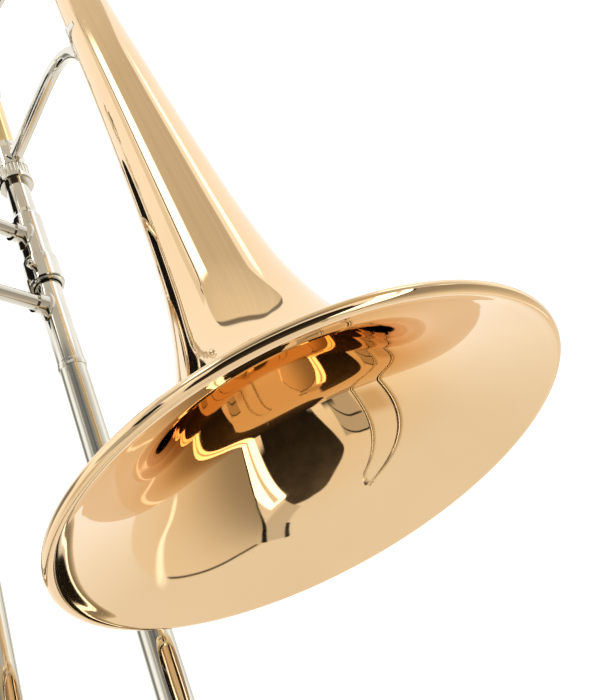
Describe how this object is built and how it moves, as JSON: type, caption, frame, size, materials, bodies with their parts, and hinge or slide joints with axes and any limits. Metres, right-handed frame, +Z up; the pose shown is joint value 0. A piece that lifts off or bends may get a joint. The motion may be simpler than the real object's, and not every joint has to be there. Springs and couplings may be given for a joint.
{
  "type": "trombone",
  "caption": "Straight tenor trombone with a flared rose-brass bell, curved nickel-silver bell brace, hand slide, tuning slide, slide lock and water key.",
  "frame": {"origin": "middle of the left-hand grip brace, half way between the two slide tube axes", "axes": "+X forward to the bell mouth and slide bow, +Y to the player's left, +Z up"},
  "size_m": [1.1487, 0.2346, 0.2032],
  "materials": {
    "bell_brass": "polished and lacquered rose brass, fine polishing marks",
    "nickel_silver": "polished nickel silver, warm white",
    "inner_chrome": "hard bright plated running surface",
    "rim_steel": "drawn wire inside the rolled rim",
    "silver_plate": "bright silver plate",
    "key_brass": "polished yellow brass",
    "spring_steel": "tempered spring wire",
    "cork": "natural cork",
    "felt_rubber": "soft black rubber"
  },
  "bodies": {
    "slide_frame": {"upper_inner_tube": "inner_chrome", "lower_inner_tube": "inner_chrome", "slide_stockings": "inner_chrome", "leadpipe": "key_brass", "mouthpiece_receiver": "nickel_silver", "upper_cork_barrel": "nickel_silver", "lower_cork_barrel": "nickel_silver", "barrel_bumpers": "felt_rubber", "left_hand_brace": "nickel_silver", "grip_flanges": "nickel_silver", "slide_tenon": "nickel_silver"},
    "lock_nut": {"lock_nut": "nickel_silver"},
    "bell_section": {"bell_flare": "bell_brass", "bell_stem": "bell_brass", "rim_wire": "rim_steel", "bell_tail_ferrule": "nickel_silver", "bell_side_tuning_sleeve": "nickel_silver", "neck_side_tuning_sleeve": "nickel_silver", "neckpipe": "key_brass", "neckpipe_ferrule": "nickel_silver", "slide_receiver": "nickel_silver", "bell_brace": "nickel_silver", "bell_brace_flanges": "nickel_silver", "rear_bell_brace": "nickel_silver", "rear_brace_flanges": "nickel_silver"},
    "tuning_slide": {"tuning_leg_neck_side": "inner_chrome", "tuning_leg_bell_side": "inner_chrome", "crook_ferrules": "nickel_silver", "tuning_crook": "nickel_silver", "tuning_slide_brace": "nickel_silver", "tuning_brace_flanges": "nickel_silver"},
    "mouthpiece": {"mouthpiece": "silver_plate"},
    "slide_lock": {"slide_lock_ring": "nickel_silver", "lock_thumb_knob": "nickel_silver"},
    "outer_slide": {"upper_outer_tube": "nickel_silver", "lower_outer_tube": "nickel_silver", "outer_slide_sleeves": "nickel_silver", "right_hand_brace": "nickel_silver", "right_brace_flanges": "nickel_silver", "lock_stud": "spring_steel", "slide_bow": "nickel_silver", "bow_ferrules": "nickel_silver", "bow_guard": "nickel_silver", "bumper_base": "nickel_silver", "bumper_tip": "felt_rubber", "water_key_nipple": "nickel_silver", "water_key_pin": "spring_steel", "water_key_saddle": "nickel_silver", "water_key_spring": "spring_steel"},
    "water_key": {"water_key_lever": "nickel_silver", "water_key_cork": "cork"}
  },
  "joints": [
    {"name": "slide_travel", "type": "slide", "parent": "slide_frame", "child": "outer_slide", "axis": [1, 0, 0], "range_m": [0, 0.6]},
    {"name": "bell_turn", "type": "hinge", "parent": "slide_frame", "child": "bell_section", "pos_m": [-0.07, 0, -0.04], "axis": [1, 0, 0], "range_deg": [-30, 12]},
    {"name": "tuning_pull", "type": "slide", "parent": "bell_section", "child": "tuning_slide", "axis": [-1, 0, 0], "range_m": [0, 0.06]},
    {"name": "lock_nut_turn", "type": "hinge", "parent": "slide_frame", "child": "lock_nut", "pos_m": [-0.058, 0, -0.04], "axis": [1, 0, 0], "continuous": true},
    {"name": "slide_lock_turn", "type": "hinge", "parent": "slide_frame", "child": "slide_lock", "pos_m": [0.032, 0, -0.04], "axis": [1, 0, 0], "range_deg": [0, 24]},
    {"name": "water_key_press", "type": "hinge", "parent": "outer_slide", "child": "water_key", "pos_m": [0.721, 0, -0.0522], "axis": [0, 1, 0], "range_deg": [0, 12], "stiffness_Nm_per_rad": 0.15, "springref_deg": -17.19},
    {"name": "mouthpiece_pull", "type": "slide", "parent": "slide_frame", "child": "mouthpiece", "axis": [-1, 0, 0], "range_m": [0, 0.04]}
  ]
}
